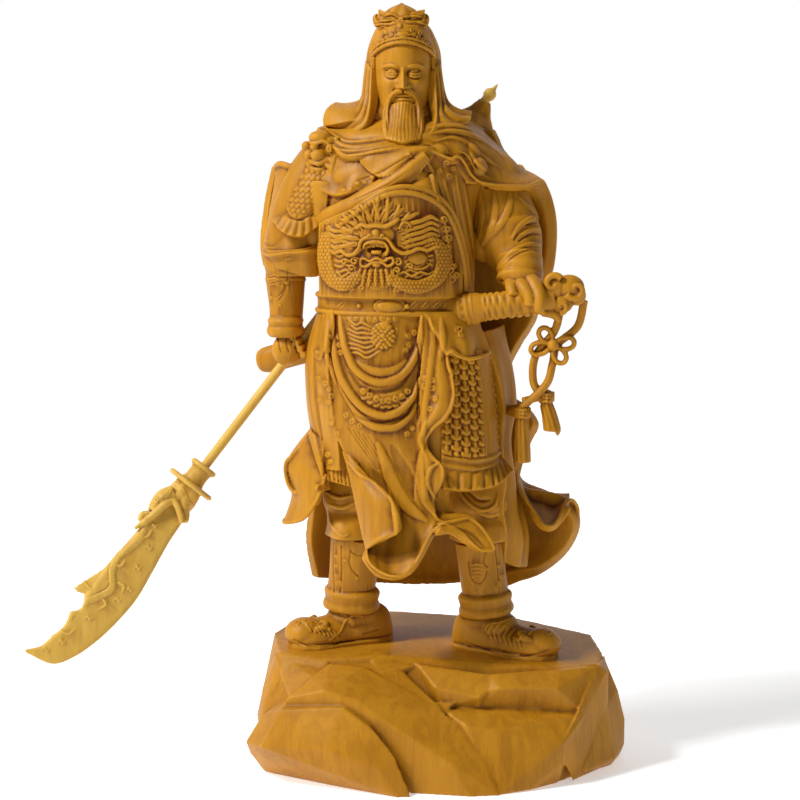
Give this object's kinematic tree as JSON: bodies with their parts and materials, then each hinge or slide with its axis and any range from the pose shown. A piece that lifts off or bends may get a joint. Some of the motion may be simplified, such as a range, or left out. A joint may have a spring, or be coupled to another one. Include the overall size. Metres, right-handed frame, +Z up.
{
  "type": "guan yu statue",
  "caption": "Carved wooden statue of a bearded general in armour and robes on a rock base, with a long-handled glaive held low at one side.",
  "frame": {"origin": "centre of the rock base's flat underside, on the surface it stands on", "axes": "+Z up; the figure faces -Y; +X is to the right of someone who looks at its face"},
  "size_m": [0.782, 0.348, 0.999],
  "materials": {
    "carved_wood": "hand-carved yellow wood, waxed, satin",
    "pole_wood": "turned dowel of pale yellow wood, satin",
    "blade_wood": "carved pale yellow wood, satin"
  },
  "bodies": {
    "root": {"figure_on_rock": "carved_wood", "glaive_pole": "pole_wood", "glaive_blade": "blade_wood"}
  },
  "joints": []
}
